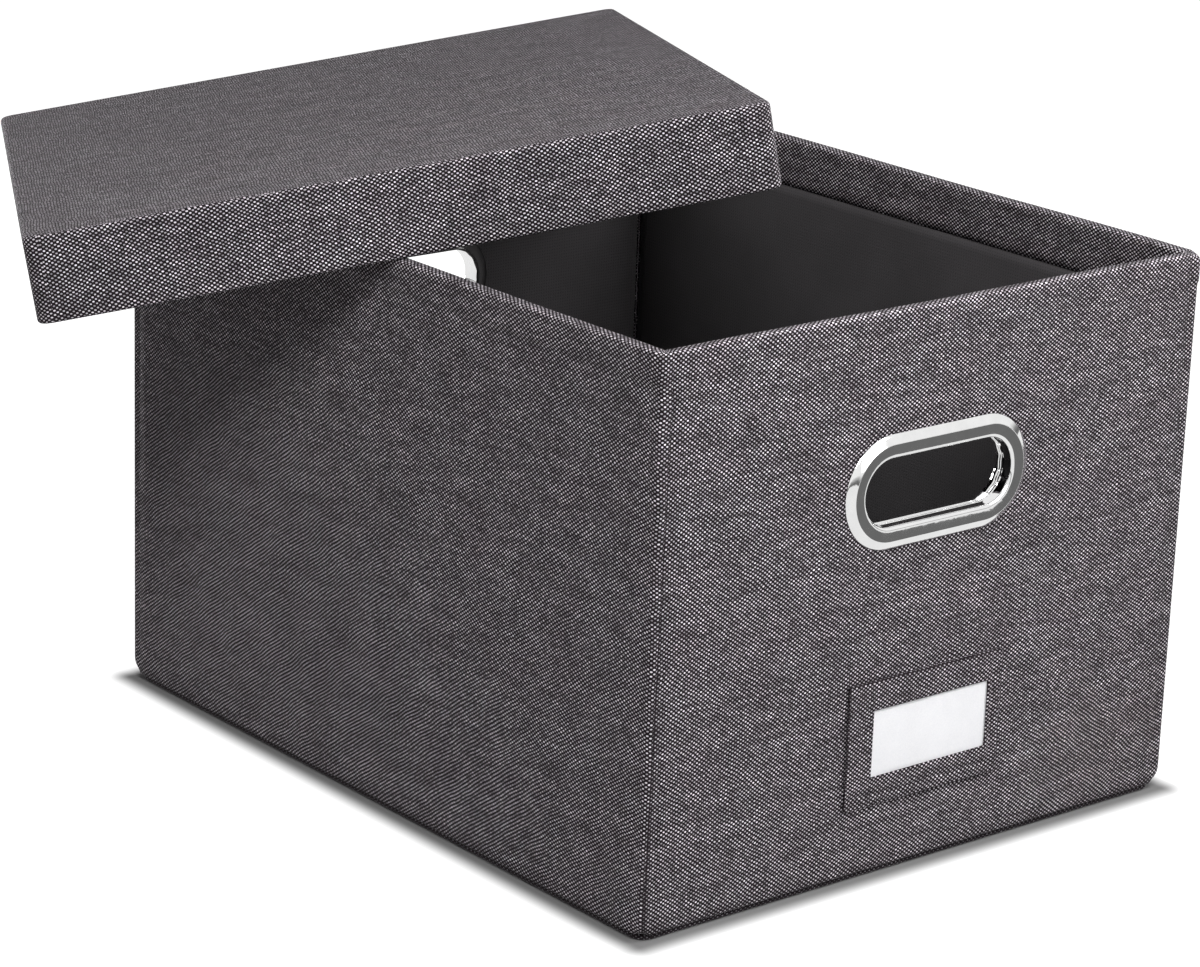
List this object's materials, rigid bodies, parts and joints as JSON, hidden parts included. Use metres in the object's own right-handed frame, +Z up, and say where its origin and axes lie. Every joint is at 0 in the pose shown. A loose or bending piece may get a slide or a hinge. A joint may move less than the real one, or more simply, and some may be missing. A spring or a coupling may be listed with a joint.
{
  "type": "collapsible file box",
  "caption": "Collapsible cloth-covered file box with rails for hanging folders, metal eyelet handles, a label pocket and a loose lid. Its walls skew flat like a parallelogram.",
  "frame": {"origin": "middle of the box's underside, where it stands", "axes": "+Z up, -Y is the front wall with the label pocket, +X to the right seen from the front"},
  "size_m": [0.4855, 0.6116, 0.3283],
  "materials": {
    "cover_cloth": "charcoal linen-look plain weave with off-white flecks",
    "lining_cloth": "black non-woven lining",
    "board": "bare grey-brown pressed board",
    "rail_steel": "folded galvanised sheet",
    "polished_metal": "polished bright metal",
    "card": "matt white card, blank"
  },
  "bodies": {
    "base": {"bottom_cover": "cover_cloth", "bottom_board": "board", "floor_lining": "lining_cloth", "left_wall_board": "board", "left_wall_cover": "cover_cloth", "left_wall_lining": "lining_cloth", "left_hanging_rail": "rail_steel", "corner_front_left": "cover_cloth", "corner_back_left": "cover_cloth"},
    "front_wall": {"front_wall_board": "board", "front_wall_cover": "cover_cloth", "front_wall_lining": "lining_cloth", "front_handle_bezel": "polished_metal", "front_handle_backing_ring": "polished_metal", "label_holder": "cover_cloth", "corner_front_right": "cover_cloth"},
    "right_wall": {"right_wall_board": "board", "right_wall_cover": "cover_cloth", "right_wall_lining": "lining_cloth", "right_hanging_rail": "rail_steel", "corner_back_right": "cover_cloth"},
    "back_wall": {"back_wall_board": "board", "back_wall_cover": "cover_cloth", "back_wall_lining": "lining_cloth", "back_handle_bezel": "polished_metal", "back_handle_backing_ring": "polished_metal"},
    "card": {"label_card": "card"},
    "lid": {"lid_cover": "cover_cloth", "lid_lining": "lining_cloth", "lid_top_board": "board", "lid_front_board": "board", "lid_back_board": "board", "lid_left_board": "board", "lid_right_board": "board"}
  },
  "joints": [
    {"name": "fold_front", "type": "hinge", "parent": "base", "child": "front_wall", "pos_m": [-0.1525, -0.1905, 0.13], "axis": [0, 0, -1], "range_deg": [0, 88], "deforming": ["corner_front_left"]},
    {"name": "fold_right", "type": "hinge", "parent": "front_wall", "child": "right_wall", "pos_m": [0.1525, -0.1905, 0.13], "axis": [0, 0, 1], "range_deg": [0, 88]},
    {"name": "fold_back", "type": "hinge", "parent": "right_wall", "child": "back_wall", "pos_m": [0.1525, 0.1905, 0.13], "axis": [0, 0, -1], "range_deg": [0, 88], "deforming": ["corner_back_right"]},
    {"name": "lid_lift", "type": "slide", "parent": "base", "child": "lid", "axis": [0, 0, 1], "range_m": [0, 0.25]},
    {"name": "card_slide", "type": "slide", "parent": "front_wall", "child": "card", "axis": [-1, 0, 0], "range_m": [0, 0.085]}
  ],
  "couplings": [
    {"joint": "fold_right", "follows": "fold_front", "ratio": 1},
    {"joint": "fold_back", "follows": "fold_front", "ratio": 1}
  ]
}
